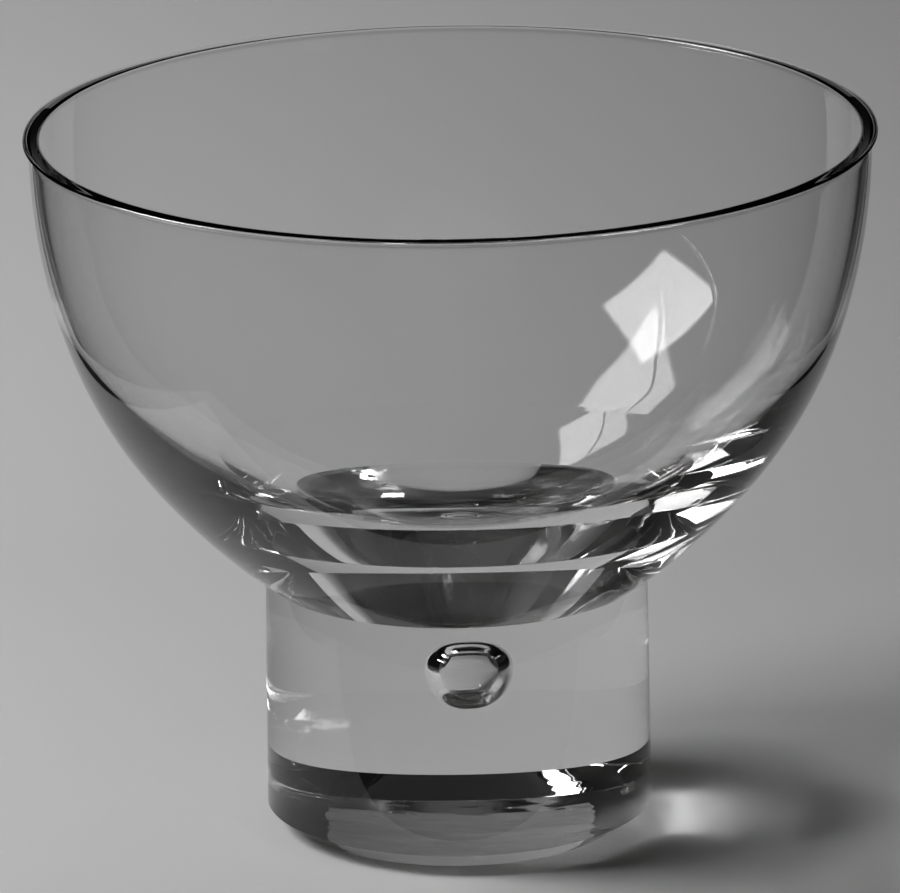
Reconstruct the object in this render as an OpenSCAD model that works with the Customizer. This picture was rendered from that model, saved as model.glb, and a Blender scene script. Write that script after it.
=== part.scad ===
// Seafood cocktail glass: a wide blown bowl with a flat-cut rim on a heavy
// solid cylindrical base, with one air bubble trapped in the joint between them.
// Millimetres, +Z up, origin at the centre of the flat underside.

/* [Rim] */
// Height of the rim above the table
rim_z = 101.6; // [98:0.1:106]
// Outside diameter of the rim
rim_d = 120.2; // [117:0.1:123]
// Width of the flat polished ring on top of the rim
rim_ring = 2.35; // [2.1:0.05:2.6]
// Rounding of the two edges of that ring
rim_edge_r = 0.35; // [0.2:0.05:0.35]
// Height over which the wall flares out into the lip
lip_h = 1.2; // [1.2:0.1:2]
// How far the lip stands proud of the wall below it
lip_flare = 0.8; // [0.4:0.05:0.8]

/* [Bowl outside] */
// Radius of the upper wall's curve, seen from the side
out_r1 = 89; // [84:1:96]
// Slope from vertical where the upper curve ends
out_a1 = 16.7; // [15:0.1:18]
// Radius of the shoulder's curve
out_r2 = 65; // [61:1:69]
// Slope from vertical where the shoulder ends
out_a2 = 39.5; // [37:0.5:42]
// Radius of the lower wall's curve, down to the base
out_r3 = 97; // [90:1:105]

/* [Bowl inside] */
// Depth below the rim at which the inside starts to curve
in_lip_h = 2.1; // [1.5:0.1:2.5]
// Radius of the upper inside curve
in_r1 = 87.7; // [84:0.1:91]
// Slope from vertical where the upper inside curve ends
in_a1 = 16; // [15:0.1:17]
// Radius of the inside shoulder
in_r2 = 45.1; // [43:0.1:47]
// Slope from vertical where the inside shoulder ends
in_a2 = 43.9; // [42:0.1:46]
// Radius of the lower inside curve
in_r3 = 64; // [60:0.5:68]
// Slope from vertical where the lower inside curve ends
in_a3 = 53.8; // [52:0.1:56]
// Radius of the soft ridge round the top of the well
in_r4 = 2; // [1:0.1:4]
// Slope from vertical just below that ridge
in_a4 = 61.5; // [60:0.1:63]
// Radius of the hollow side of the well, curved the other way
in_r5 = 252; // [220:1:300]
// Slope from vertical where the rounded bottom of the well starts
in_a5 = 56.7; // [55:0.1:58]

/* [Base] */
// Diameter of the base where it meets the bowl
base_top_d = 54.4; // [52:0.2:57]
// Diameter of the base near the table
base_d = 55; // [53:0.2:58]
// Height of the bevel round the base's bottom edge
foot_z = 3; // [2:0.1:4]
// Slope of that bevel from the table
foot_tilt = 34; // [30:1:45]
// Rounding between the bevel and the flat underside
foot_r = 0.5; // [0.2:0.1:3]
// Depth of the round seat in the base that the bowl is fused into
seat_depth = 11; // [9.5:0.5:13]

/* [Bubble] */
// Width of the air bubble
bubble_d = 8.3; // [6:0.1:9]
// Height of the air bubble
bubble_h = 9.9; // [8:0.1:11]
// Height of the bubble's centre above the table
bubble_z = 23.85; // [22.5:0.05:25]
// How far the bubble sits off the axis
bubble_x = 1; // [0:0.1:2]
// How much fuller the bubble is above its middle than below
bubble_egg = 0.12; // [0:0.01:0.25]
// Fullness of the bubble's side: 1 is an ellipse, less is more like a barrel
bubble_full = 0.8; // [0.6:0.05:1]

/* [Hidden] */
$fn = 180;
glass_tint = [0.84, 0.88, 0.89, 0.45];

// A wall is a chain of tangent arcs. A station is [radius, height, slope],
// and arc_end gives the station where an arc of radius r reaches slope a.
function arc_end(s, r, a) = [s[0] + r * (cos(a) - cos(s[2])),
                             s[1] - r * (sin(a) - sin(s[2])), a];
// Slope at which an arc of radius r has come in to radius x.
function slope_at(s, r, x) = acos(cos(s[2]) - (s[0] - x) / r);
// Points along an arc of radius r from station s to slope a, in n short steps.
function arc_points(s, r, a, n) = [for (k = [1:n]) let (e = arc_end(s, r, s[2] + (a - s[2]) * k / n)) [e[0], e[1]]];
// Points round a small edge of radius r about centre c, from angle a to angle b.
function edge_points(c, r, a, b, n) = [for (k = [0:n]) let (u = a + (b - a) * k / n) [c[0] + r * cos(u), c[1] + r * sin(u)]];

lip_r = (lip_h - rim_edge_r) * (lip_h - rim_edge_r) / (2 * lip_flare) + lip_flare / 2;
base_top_r = base_top_d / 2;
base_r = base_d / 2;

// Outside stations, from the lip down to the crease at the top of the base
o0 = [rim_d / 2 - lip_flare, rim_z - lip_h, 0];
o1 = arc_end(o0, out_r1, out_a1);
o2 = arc_end(o1, out_r2, out_a2);
o3_a = slope_at(o2, out_r3, base_top_r);
crease_z = round(arc_end(o2, out_r3, o3_a)[1] * 1000) / 1000;

// Inside stations, from the rim down to the rounded bottom of the well
i0 = [rim_d / 2 - rim_ring, rim_z - in_lip_h, 1];
i1 = arc_end(i0, in_r1, in_a1);
i2 = arc_end(i1, in_r2, in_a2);
i3 = arc_end(i2, in_r3, in_a3);
i4 = arc_end(i3, in_r4, in_a4);
i5 = arc_end(i4, -in_r5, in_a5);
well_r = i5[0] / cos(in_a5);

// Round seat from the crease in to a small flat round the bubble. The bowl's
// end and the base's top follow the same points, so they meet face to face.
seat_flat = 6;
seat_r = (base_top_r * base_top_r + seat_depth * seat_depth) / (2 * seat_depth);
seat_z = crease_z - seat_depth + seat_r;
seat_a0 = asin(base_top_r / seat_r);
seat_a1 = asin(seat_flat / seat_r);
seat_points = concat(
    [[base_top_r, crease_z]],
    [for (k = [1:14]) let (u = seat_a0 + (seat_a1 - seat_a0) * k / 14) [seat_r * sin(u), seat_z - seat_r * cos(u)]],
    [[0, seat_z - seat_r * cos(seat_a1)]]);

// Bevel at the foot: where it meets its rounding, and where the flat starts
foot_z2 = foot_r * (1 - cos(foot_tilt));
foot_r2 = base_r - (foot_z - foot_z2) / tan(foot_tilt);
flat_r = foot_r2 - foot_r * sin(foot_tilt);

// Everything inside the outer wall, from the round end up to the rim
module filled_bowl() {
    re = rim_edge_r;
    lip_a = asin((lip_h - re) / lip_r);
    polygon(concat(
        [[0, rim_z]],
        edge_points([rim_d / 2 - re, rim_z - re], re, 90, 0, 8),
        [for (k = [1:8]) let (u = lip_a * (1 - k / 8)) [o0[0] + lip_r * (1 - cos(u)), o0[1] + lip_r * sin(u)]],
        arc_points(o0, out_r1, out_a1, 22),
        arc_points(o1, out_r2, out_a2, 22),
        arc_points(o2, out_r3, o3_a - (o3_a - out_a2) / 14, 13),
        seat_points));
}

// The hollow of the bowl, open at the top
module hollow() {
    re = rim_edge_r;
    polygon(concat(
        [[0, rim_z + 1], [i0[0] + re, rim_z + 1]],
        edge_points([i0[0] + re, rim_z - re], re, 90, 180, 8),
        [[i0[0], i0[1]]],
        arc_points(i0, in_r1, in_a1, 22),
        arc_points(i1, in_r2, in_a2, 26),
        arc_points(i2, in_r3, in_a3, 10),
        arc_points(i3, in_r4, in_a4, 4),
        arc_points(i4, -in_r5, in_a5, 8),
        arc_points(i5, well_r, 90 - (90 - in_a5) / 16, 15),
        [[0, i5[1] - well_r * (1 - sin(in_a5))]]));
}

// Half section of the bowl, with its round end below the crease
module bowl_section() {
    difference() {
        filled_bowl();
        hollow();
    }
}

// Half section of the base, with the seat sunk into its top
module base_section() {
    polygon(concat(
        [[0, 0]],
        [for (k = [0:6]) let (u = foot_tilt * k / 6) [flat_r + foot_r * sin(u), foot_r * (1 - cos(u))]],
        [[base_r, foot_z]],
        seat_points));
}

// The trapped air: a smooth barrel-shaped void, its top in the bowl and the rest in the base
module bubble() {
    n = 28;
    translate([bubble_x, 0, bubble_z]) rotate_extrude()
        polygon([for (k = [0:n]) let (u = 180 * k / n)
                 [k == 0 || k == n ? 0 : bubble_d / 2 * pow(sin(u), bubble_full) * (1 + bubble_egg * cos(u)),
                  bubble_h / 2 * cos(u)]]);
}

module bowl() {
    color(glass_tint) difference() {
        rotate_extrude() bowl_section();
        bubble();
    }
}

module base() {
    color(glass_tint) difference() {
        rotate_extrude() base_section();
        bubble();
    }
}

bowl();
base();
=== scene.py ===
"""Seafood cocktail glass: a wide blown bowl fused to a heavy solid base with one trapped air bubble.

Everything is in metres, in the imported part's own frame: +Z up, origin at the centre of the flat underside,
and the photograph's camera on the -Y side. The two glass pieces are lofted ring by ring as closed meshes.
"""

import math

import bmesh
import bpy
from mathutils import Matrix, Vector


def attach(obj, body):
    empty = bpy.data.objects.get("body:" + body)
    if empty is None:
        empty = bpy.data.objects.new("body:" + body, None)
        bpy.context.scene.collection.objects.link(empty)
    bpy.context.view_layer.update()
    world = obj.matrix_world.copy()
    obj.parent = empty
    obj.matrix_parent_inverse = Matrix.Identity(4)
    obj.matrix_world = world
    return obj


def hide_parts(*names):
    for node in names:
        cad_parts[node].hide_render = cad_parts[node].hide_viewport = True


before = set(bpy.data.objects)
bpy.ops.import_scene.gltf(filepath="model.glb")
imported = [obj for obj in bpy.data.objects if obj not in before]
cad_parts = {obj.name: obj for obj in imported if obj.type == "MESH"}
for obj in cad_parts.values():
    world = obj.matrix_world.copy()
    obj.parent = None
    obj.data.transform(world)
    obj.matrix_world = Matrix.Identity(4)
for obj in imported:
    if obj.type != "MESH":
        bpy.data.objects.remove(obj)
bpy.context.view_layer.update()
scene = bpy.context.scene
MM = 0.001
SEG = 256

# ---------------------------------------------------------------- dimensions, in millimetres
RIM_Z, RIM_R, RIM_RING, RIM_EDGE = 101.6, 60.1, 2.35, 0.35
LIP_H, LIP_FLARE = 1.2, 0.8
OUT_ARCS = [(89.0, 16.7), (65.0, 39.5)]
OUT_LAST = 97.0
IN_LIP = 2.1
IN_ARCS = [(87.7, 16.0), (45.1, 43.9), (64.0, 53.8), (2.0, 61.5), (-252.0, 56.7)]
BASE_TOP_R, BASE_R, SEAT_DEPTH = 27.2, 27.5, 11.0
FOOT_Z, FOOT_TILT, FOOT_R = 3.0, 34.0, 0.5
FRONT_GLOW = 0.16
INSIDE_WAVE, FOOT_WAVE, FLAT_WAVE = 0.06, 0.12, 0.25
# The last value on the next line is the share of near-black diffuse mixed into the flat underside, which only makes it
# darker.
THICK_TINT, WORN_ROUGH, WORN_LOW, WORN_HIGH, FLAT_DARKENING = 0.88, 0.6, 0.1, 0.35, 0.5
PAPER_W, PAPER_FRONT, PAPER_BACK, PAPER_CURVE, PAPER_TOP = 0.125, -0.044, 0.225, 0.1, 0.157
BUB_RX, BUB_RZ, BUB_Z, BUB_X, BUB_EGG, BUB_FULL = 4.15, 4.95, 23.85, 1.0, 0.12, 0.8


# ---------------------------------------------------------------- half sections
def arc_points(r, z, t0, radius, t1, step):
    """Points of one arc after its start, and the station [r, z, slope] where it ends. Slopes are from vertical."""
    n = max(4, int(math.ceil(abs(radius * (t1 - t0)) / step)))
    pts = []
    for k in range(1, n + 1):
        t = t0 + (t1 - t0) * k / n
        pts.append((r + radius * (math.cos(t) - math.cos(t0)), z - radius * (math.sin(t) - math.sin(t0))))
    return pts, (pts[-1][0], pts[-1][1], t1)


def wall_outside():
    """Outside of the bowl, from the top of the straight wall down to the crease."""
    s = (RIM_R - LIP_FLARE, RIM_Z - LIP_H, 0.0)
    pts = [(s[0], s[1])]
    for radius, a in OUT_ARCS:
        more, s = arc_points(s[0], s[1], s[2], radius, math.radians(a), 0.9)
        pts += more
    end = math.acos(math.cos(s[2]) - (s[0] - BASE_TOP_R) / OUT_LAST)
    more, s = arc_points(s[0], s[1], s[2], OUT_LAST, end, 0.6)
    return pts + more


def wall_inside():
    """Inside of the bowl, from the rim down to the bottom of the well on the axis."""
    s = (RIM_R - RIM_RING, RIM_Z - IN_LIP, math.radians(1.0))
    pts = [(s[0], s[1])]
    for radius, a in IN_ARCS:
        more, s = arc_points(s[0], s[1], s[2], radius, math.radians(a), 0.7)
        pts += more
    more, s = arc_points(s[0], s[1], s[2], s[0] / math.cos(s[2]), math.pi / 2, 0.55)
    more[-1] = (0.0, more[-1][1])
    return pts + more


def rim_section():
    """Lip flare, rounded outer edge, flat ring, rounded inner edge: from the outside wall over to the inside."""
    e = RIM_EDGE
    h = LIP_H - e
    radius = h * h / (2 * LIP_FLARE) + LIP_FLARE / 2
    reach = math.asin(h / radius)
    pts = []
    for k in range(1, 11):
        a = reach * k / 10
        pts.append((RIM_R - LIP_FLARE + radius - radius * math.cos(a), RIM_Z - LIP_H + radius * math.sin(a)))
    for k in range(1, 7):
        a = math.pi / 2 * k / 6
        pts.append((RIM_R - e + e * math.cos(a), RIM_Z - e + e * math.sin(a)))
    r_in = RIM_R - RIM_RING
    for k in range(1, 6):
        pts.append((RIM_R - e + (r_in + 2 * e - RIM_R) * k / 5, RIM_Z))
    for k in range(1, 7):
        a = math.pi / 2 + math.pi / 2 * k / 6
        pts.append((r_in + e + e * math.cos(a), RIM_Z - e + e * math.sin(a)))
    for k in range(1, 3):
        pts.append((r_in, RIM_Z - e - (IN_LIP - e) * k / 3))
    return pts


def foot_section():
    """Lower edge of the base: a shallow bevel from the side, rounded into the flat underside."""
    d = math.radians(FOOT_TILT)
    z2 = FOOT_R * (1 - math.cos(d))
    r2 = BASE_R - (FOOT_Z - z2) / math.tan(d)
    flat = r2 - FOOT_R * math.sin(d)
    pts = [(BASE_R + (r2 - BASE_R) * k / 6, FOOT_Z + (z2 - FOOT_Z) * k / 6) for k in range(6)]
    pts += [(flat + FOOT_R * math.sin(d * (1 - k / 16)), FOOT_R * (1 - math.cos(d * (1 - k / 16)))) for k in range(17)]
    return pts


OUTSIDE = wall_outside()
CREASE_Z = OUTSIDE[-1][1]
SEAT_R = (BASE_TOP_R ** 2 + SEAT_DEPTH ** 2) / (2 * SEAT_DEPTH)
SEAT_Z = CREASE_Z - SEAT_DEPTH + SEAT_R


# ---------------------------------------------------------------- rings
def round_ring(r, z, wave=0.0):
    """One ring about the glass's axis. wave is the amplitude of the slow unevenness of hand-worked glass."""
    pts = []
    for k in range(SEG):
        a = 2 * math.pi * k / SEG
        d = wave * (0.55 * math.sin(2 * a + 0.9 + 0.031 * z) + 0.3 * math.sin(3 * a - 1.7 + 0.047 * z)
                    + 0.25 * math.sin(5 * a + 0.4 - 0.083 * z) + 0.08 * math.sin(13 * a + 1.1 + 0.21 * z))
        pts.append(((r + d) * math.cos(a), (r + d) * math.sin(a), z))
    return pts


def bubble_point(u, a):
    """Barrel shape, fuller above its middle and narrower below."""
    r = BUB_RX * abs(math.sin(u)) ** BUB_FULL * (1 + BUB_EGG * math.cos(u))
    return (BUB_X + r * math.cos(a), r * math.sin(a), BUB_Z + BUB_RZ * math.cos(u))


def bubble_meets_seat(a):
    """Polar angle on the bubble, at azimuth a, where it crosses the seat between the two pieces."""
    lo, hi = 0.0, math.pi
    for _ in range(60):
        mid = (lo + hi) / 2
        x, y, z = bubble_point(mid, a)
        if x * x + y * y + (z - SEAT_Z) ** 2 < SEAT_R ** 2:
            lo = mid
        else:
            hi = mid
    return lo


CROSSING = [bubble_meets_seat(2 * math.pi * k / SEG) for k in range(SEG)]


def bubble_rings(top):
    """Rings from a pole of the bubble to the line where it crosses the seat."""
    n = 26
    pole = 0.0 if top else math.pi
    rings = [[bubble_point(pole, 0.0)]]
    for i in range(1, n + 1):
        rings.append([bubble_point(pole + (CROSSING[k] - pole) * i / n, 2 * math.pi * k / SEG) for k in range(SEG)])
    return rings


def seat_rings():
    """Rings over the seat, from just outside the bubble to just inside the crease."""
    n = 14
    rings = []
    start = [bubble_point(CROSSING[k], 2 * math.pi * k / SEG) for k in range(SEG)]
    for i in range(1, n):
        f = i / n
        ring = []
        for k in range(SEG):
            a = 2 * math.pi * k / SEG
            x = start[k][0] + (BASE_TOP_R * math.cos(a) - start[k][0]) * f
            y = start[k][1] + (BASE_TOP_R * math.sin(a) - start[k][1]) * f
            ring.append((x, y, SEAT_Z - math.sqrt(SEAT_R ** 2 - x * x - y * y)))
        rings.append(ring)
    return rings


def loft(name, rings, seat_span, outward, materials, bevel_from=10 ** 9, worn_from=10 ** 9):
    """A closed mesh through rings that start and end in a pole. Strips inside seat_span take the second material."""
    verts, index = [], []
    for ring in rings:
        index.append(range(len(verts), len(verts) + len(ring)))
        verts += [(x * MM, y * MM, z * MM) for x, y, z in ring]
    faces, mats = [], []
    for i, (a, b) in enumerate(zip(index[:-1], index[1:])):
        for k in range(SEG):
            j = (k + 1) % SEG
            if len(a) == 1:
                f = (a[0], b[k], b[j])
            elif len(b) == 1:
                f = (a[j], a[k], b[0])
            else:
                f = (a[j], a[k], b[k], b[j])
            faces.append(f if outward else f[::-1])
            mats.append(1 if seat_span[0] <= i < seat_span[1] else 2 if i >= worn_from else 3 if i >= bevel_from else 0)
    mesh = bpy.data.meshes.new(name)
    mesh.from_pydata(verts, [], faces)
    for m in materials:
        mesh.materials.append(m)
    mesh.polygons.foreach_set("material_index", mats)
    mesh.polygons.foreach_set("use_smooth", [True] * len(faces))
    bm = bmesh.new()
    bm.from_mesh(mesh)
    for e in bm.edges:
        if len(e.link_faces) == 2:
            p, q = e.link_faces
            if p.material_index != q.material_index or e.calc_face_angle(0.0) > math.radians(32):
                e.smooth = False
    bm.to_mesh(mesh)
    bm.free()
    obj = bpy.data.objects.new(name, mesh)
    scene.collection.objects.link(obj)
    return obj


# ---------------------------------------------------------------- materials
def waviness(nt, scale, depth):
    """The slow unevenness of hand-polished glass, depth in millimetres, as a normal for the glass to use."""
    tc = nt.nodes.new("ShaderNodeTexCoord")
    stretch = nt.nodes.new("ShaderNodeMapping")
    stretch.inputs["Scale"].default_value = scale
    nt.links.new(tc.outputs["Object"], stretch.inputs["Vector"])
    noise = nt.nodes.new("ShaderNodeTexNoise")
    noise.inputs["Scale"].default_value = 1.0
    noise.inputs["Detail"].default_value = 2.0
    nt.links.new(stretch.outputs["Vector"], noise.inputs["Vector"])
    bump = nt.nodes.new("ShaderNodeBump")
    bump.inputs["Strength"].default_value = 1.0
    bump.inputs["Distance"].default_value = depth * MM
    nt.links.new(noise.outputs["Fac"], bump.inputs["Height"])
    return bump.outputs["Normal"]


def clear_glass(name, tint, uneven=None):
    """Clear polished glass. The thick base takes up more of the light than the thin wall does."""
    m = bpy.data.materials.new(name)
    m.use_nodes = True
    nt = m.node_tree
    nt.nodes.clear()
    out = nt.nodes.new("ShaderNodeOutputMaterial")
    b = nt.nodes.new("ShaderNodeBsdfPrincipled")
    b.inputs["Base Color"].default_value = (tint, tint, tint, 1.0)
    b.inputs["Roughness"].default_value = 0.0
    b.inputs["IOR"].default_value = 1.5
    b.inputs["Transmission Weight"].default_value = 1.0
    if uneven:
        nt.links.new(waviness(nt, *uneven), b.inputs["Normal"])
    nt.links.new(b.outputs["BSDF"], out.inputs["Surface"])
    return m


def fused_joint():
    """The joint inside the glass: the two gathers are fused, so light crosses it unchanged."""
    m = bpy.data.materials.new("fused_joint")
    m.use_nodes = True
    nt = m.node_tree
    nt.nodes.clear()
    out = nt.nodes.new("ShaderNodeOutputMaterial")
    b = nt.nodes.new("ShaderNodeBsdfTransparent")
    nt.links.new(b.outputs["BSDF"], out.inputs["Surface"])
    return m


def worn_darkened_glass():
    """The flat the glass stands on: polished once, dulled by fine scuffs, and made darker all over by a near-black
    diffuse mixed in.
    """
    m = bpy.data.materials.new("worn_darkened_glass")
    m.use_nodes = True
    nt = m.node_tree
    nt.nodes.clear()
    out = nt.nodes.new("ShaderNodeOutputMaterial")
    mix = nt.nodes.new("ShaderNodeMixShader")
    uneven = waviness(nt, (120.0, 120.0, 0.0), FLAT_WAVE)
    for k, rough in ((1, 0.0), (2, WORN_ROUGH)):
        b = nt.nodes.new("ShaderNodeBsdfPrincipled")
        b.inputs["Base Color"].default_value = (THICK_TINT, THICK_TINT, THICK_TINT, 1.0)
        b.inputs["Roughness"].default_value = rough
        b.inputs["IOR"].default_value = 1.5
        b.inputs["Transmission Weight"].default_value = 1.0
        nt.links.new(uneven, b.inputs["Normal"])
        nt.links.new(b.outputs["BSDF"], mix.inputs[k])
    tc = nt.nodes.new("ShaderNodeTexCoord")
    stretch = nt.nodes.new("ShaderNodeMapping")
    stretch.inputs["Rotation"].default_value = (0.0, 0.0, 0.6)
    stretch.inputs["Scale"].default_value = (90.0, 420.0, 0.0)
    nt.links.new(tc.outputs["Object"], stretch.inputs["Vector"])
    scuffs = nt.nodes.new("ShaderNodeTexNoise")
    scuffs.inputs["Scale"].default_value = 1.0
    scuffs.inputs["Detail"].default_value = 4.0
    nt.links.new(stretch.outputs["Vector"], scuffs.inputs["Vector"])
    amount = nt.nodes.new("ShaderNodeMapRange")
    amount.inputs["From Min"].default_value = 0.3
    amount.inputs["From Max"].default_value = 0.7
    amount.inputs["To Min"].default_value = WORN_LOW
    amount.inputs["To Max"].default_value = WORN_HIGH
    nt.links.new(scuffs.outputs["Fac"], amount.inputs["Value"])
    nt.links.new(amount.outputs["Result"], mix.inputs["Fac"])
    # Part of the flat's shading is a near-black diffuse, which only makes the underside darker.
    dim = nt.nodes.new("ShaderNodeMixShader")
    dim.inputs["Fac"].default_value = FLAT_DARKENING
    near_black_layer = nt.nodes.new("ShaderNodeBsdfDiffuse")
    near_black_layer.inputs["Color"].default_value = (0.03, 0.03, 0.03, 1.0)
    nt.links.new(mix.outputs[0], dim.inputs[1])
    nt.links.new(near_black_layer.outputs["BSDF"], dim.inputs[2])
    nt.links.new(dim.outputs[0], out.inputs["Surface"])
    return m


THIN = clear_glass("clear_glass", 0.93)
THICK = clear_glass("clear_glass_thick", THICK_TINT)
JOINT = fused_joint()
WORN = worn_darkened_glass()
BEVEL = clear_glass("clear_glass_bevel", THICK_TINT, ((60.0, 60.0, 500.0), FOOT_WAVE))


# ---------------------------------------------------------------- the two pieces
def make_bowl():
    rings = bubble_rings(True)
    first = len(rings) - 1
    rings += seat_rings()
    last = len(rings)
    for r, z in reversed(OUTSIDE):
        rings.append(round_ring(r, z))
    for r, z in rim_section():
        rings.append(round_ring(r, z))
    inside = wall_inside()
    for r, z in inside[:-1]:
        rings.append(round_ring(r, z, INSIDE_WAVE * min(1.0, (RIM_Z - IN_LIP - z) / 20.0) * min(1.0, r / 25.0)))
    rings.append([(0.0, 0.0, inside[-1][1])])
    return loft("bowl_glass", rings, (first, last), False, [THIN, JOINT])


def make_base():
    rings = bubble_rings(False)
    first = len(rings) - 1
    rings += seat_rings()
    last = len(rings)
    side = foot_section()
    for k in range(31):
        t = k / 30
        rings.append(round_ring(BASE_TOP_R + (BASE_R - BASE_TOP_R) * t, CREASE_Z + (FOOT_Z - CREASE_Z) * t))
    bevel = len(rings) - 1
    for r, z in side[1:]:
        rings.append(round_ring(r, z))
    worn = len(rings) - 1
    for k in range(1, 16):
        rings.append(round_ring(side[-1][0] * (1 - k / 16), 0.0))
    rings.append([(0.0, 0.0, 0.0)])
    return loft("base_glass", rings, (first, last), True, [THICK, JOINT, WORN, BEVEL], bevel, worn)


bowl = make_bowl()
base = make_base()
for piece, node in ((bowl, "bowl"), (base, "base")):
    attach(piece, "root")
    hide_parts(node)


# ---------------------------------------------------------------- floor
def make_sweep():
    """A sheet of pale paper under the glass, curving up behind it, on a dark table."""
    pts = [(PAPER_FRONT, 0.0), (PAPER_BACK - PAPER_CURVE, 0.0)]
    for k in range(1, 33):
        a = math.pi / 2 * k / 32
        pts.append((PAPER_BACK - PAPER_CURVE * (1 - math.sin(a)), PAPER_CURVE * (1 - math.cos(a))))
    pts.append((PAPER_BACK, PAPER_TOP))
    verts = [(x, y, z) for y, z in pts for x in (-PAPER_W, PAPER_W)]
    faces = [(2 * k, 2 * k + 1, 2 * k + 3, 2 * k + 2) for k in range(len(pts) - 1)]
    table = [(-6.0, -6.0, -0.003), (6.0, -6.0, -0.003), (6.0, 6.0, -0.003), (-6.0, 6.0, -0.003)]
    for name, v, f, grey in (("paper", verts, faces, 0.5), ("table", table, [(0, 1, 2, 3)], 0.03)):
        mesh = bpy.data.meshes.new(name)
        mesh.from_pydata(v, [], f)
        mesh.polygons.foreach_set("use_smooth", [True] * len(f))
        obj = bpy.data.objects.new(name, mesh)
        obj.location.z = -0.00005
        scene.collection.objects.link(obj)
        m = bpy.data.materials.new(name)
        m.use_nodes = True
        b = m.node_tree.nodes["Principled BSDF"]
        b.inputs["Base Color"].default_value = (grey, grey, grey, 1.0)
        b.inputs["Roughness"].default_value = 0.7
        b.inputs["Specular IOR Level"].default_value = 0.2
        mesh.materials.append(m)
        if name == "paper":
            one_sided(m.node_tree, b)


def one_sided(nt, front):
    """Leaves the back of the paper clear, so that it hides nothing from behind."""
    side = nt.nodes.new("ShaderNodeNewGeometry")
    clear = nt.nodes.new("ShaderNodeBsdfTransparent")
    mix = nt.nodes.new("ShaderNodeMixShader")
    nt.links.new(side.outputs["Backfacing"], mix.inputs[0])
    nt.links.new(front.outputs[0], mix.inputs[1])
    nt.links.new(clear.outputs[0], mix.inputs[2])
    nt.links.new(mix.outputs[0], nt.nodes["Material Output"].inputs["Surface"])


make_sweep()


# ---------------------------------------------------------------- camera, at the photograph's viewing angle
def make_camera():
    eye = Vector((0.0, -1387.48, 470.21))
    aim = Vector((-0.659, 0.0, 54.97))
    d = (aim - eye).normalized()
    right = d.cross(Vector((0, 0, 1))).normalized()
    up = right.cross(d)
    c, s = math.cos(-0.0146), math.sin(-0.0146)
    m = Matrix((c * right + s * up, c * up - s * right, -d)).transposed().to_4x4()
    m.translation = eye * MM
    cam = bpy.data.cameras.new("camera")
    cam.sensor_fit = "HORIZONTAL"
    cam.sensor_width = 36.0
    cam.lens = 10212.3 / 900 * 36.0
    cam.clip_start = 0.01
    cam.clip_end = 100.0
    obj = bpy.data.objects.new("camera", cam)
    obj.matrix_world = m
    scene.collection.objects.link(obj)
    scene.camera = obj


make_camera()


# ---------------------------------------------------------------- light
BOX_EDGE = 0.12  # share of the soft box's width over which its cloth fades out at each side


def fade_edges(light):
    """Fades the soft box towards its four sides, as its cloth does."""
    light.use_nodes = True
    nt = light.node_tree
    across = nt.nodes.new("ShaderNodeSeparateXYZ")
    nt.links.new(nt.nodes.new("ShaderNodeNewGeometry").outputs["Parametric"], across.inputs[0])
    both = nt.nodes.new("ShaderNodeMath")
    both.operation = "MULTIPLY"
    for k in range(2):
        off = nt.nodes.new("ShaderNodeMath")
        off.operation = "SUBTRACT"
        off.inputs[1].default_value = 0.5
        nt.links.new(across.outputs[k], off.inputs[0])
        out = nt.nodes.new("ShaderNodeMath")
        out.operation = "ABSOLUTE"
        nt.links.new(off.outputs[0], out.inputs[0])
        fade = nt.nodes.new("ShaderNodeMapRange")
        fade.interpolation_type = "SMOOTHSTEP"
        fade.inputs["From Min"].default_value = 0.5
        fade.inputs["From Max"].default_value = 0.5 - BOX_EDGE
        nt.links.new(out.outputs[0], fade.inputs["Value"])
        nt.links.new(fade.outputs["Result"], both.inputs[k])
    nt.links.new(both.outputs[0], nt.nodes["Emission"].inputs["Strength"])


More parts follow.
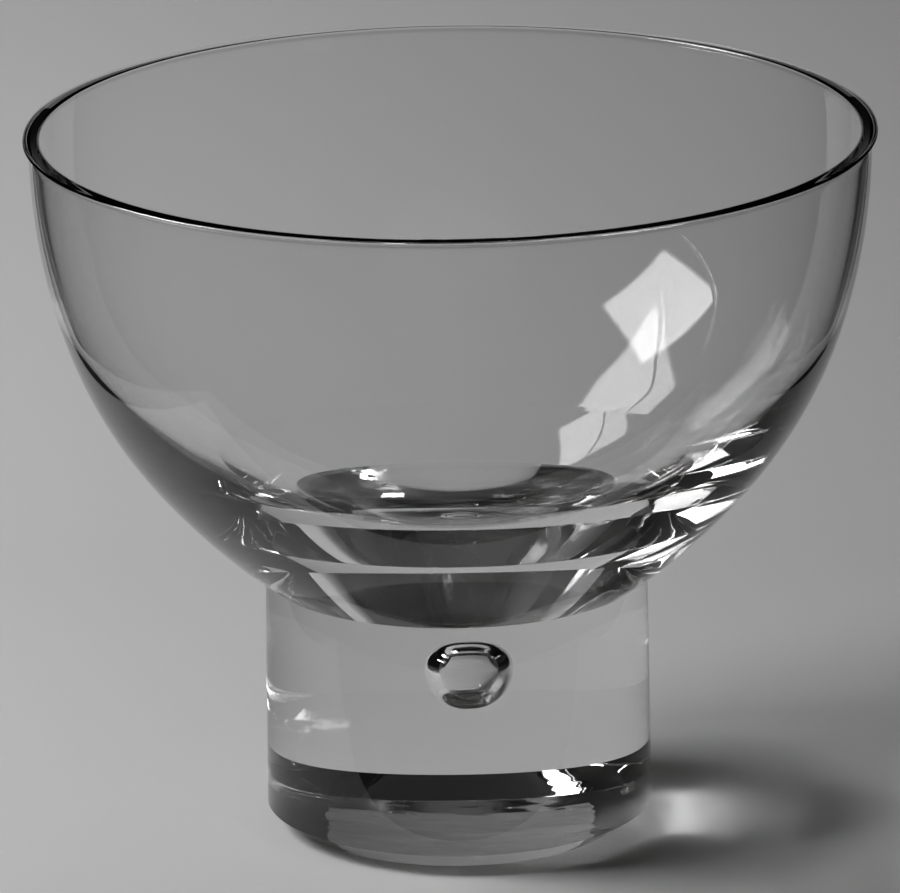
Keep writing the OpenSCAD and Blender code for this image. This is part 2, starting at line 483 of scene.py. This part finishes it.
def softbox(name, azimuth, elevation, distance, width, height, power):
    """A soft box aimed at the glass. Azimuth is measured from -X towards +Y."""
    a, e = math.radians(azimuth), math.radians(elevation)
    aim = Vector((0.0, 0.0, 0.05))
    at = aim + distance * Vector((-math.cos(e) * math.cos(a), math.cos(e) * math.sin(a), math.sin(e)))
    light = bpy.data.lights.new(name, "AREA")
    light.shape = "RECTANGLE"
    light.size = width / (1.0 - BOX_EDGE)
    light.size_y = height / (1.0 - BOX_EDGE)
    light.energy = power / (1.0 - BOX_EDGE) ** 2
    light.spread = math.radians(140.0)
    fade_edges(light)
    obj = bpy.data.objects.new(name, light)
    obj.location = at
    obj.rotation_mode = "QUATERNION"
    obj.rotation_quaternion = (aim - at).to_track_quat("-Z", "Y")
    obj.visible_camera = False
    scene.collection.objects.link(obj)
    return obj


softbox("key", 1.0, 39.5, 0.537, 0.245, 0.225, 2.12)


def make_world():
    """A dark room, with a dim pale patch high up in front of the glass."""
    w = bpy.data.worlds.new("room")
    scene.world = w
    w.use_nodes = True
    nt = w.node_tree
    tc = nt.nodes.new("ShaderNodeTexCoord")
    away = nt.nodes.new("ShaderNodeVectorMath")
    away.operation = "DISTANCE"
    e = math.radians(36.0)
    away.inputs[1].default_value = (0.0, -math.cos(e), math.sin(e))
    nt.links.new(tc.outputs["Generated"], away.inputs[0])
    patch = nt.nodes.new("ShaderNodeMapRange")
    patch.interpolation_type = "SMOOTHSTEP"
    patch.inputs["From Min"].default_value = 0.5
    patch.inputs["From Max"].default_value = 0.2
    patch.inputs["To Min"].default_value = 0.003
    patch.inputs["To Max"].default_value = FRONT_GLOW
    nt.links.new(away.outputs["Value"], patch.inputs["Value"])
    nt.links.new(patch.outputs["Result"], nt.nodes["Background"].inputs["Color"])


make_world()
scene.view_settings.view_transform = "Standard"
scene.cycles.blur_glossy = 0.0
scene.cycles.max_bounces = 32
scene.cycles.transmission_bounces = 32
scene.cycles.glossy_bounces = 16
scene.cycles.transparent_max_bounces = 32
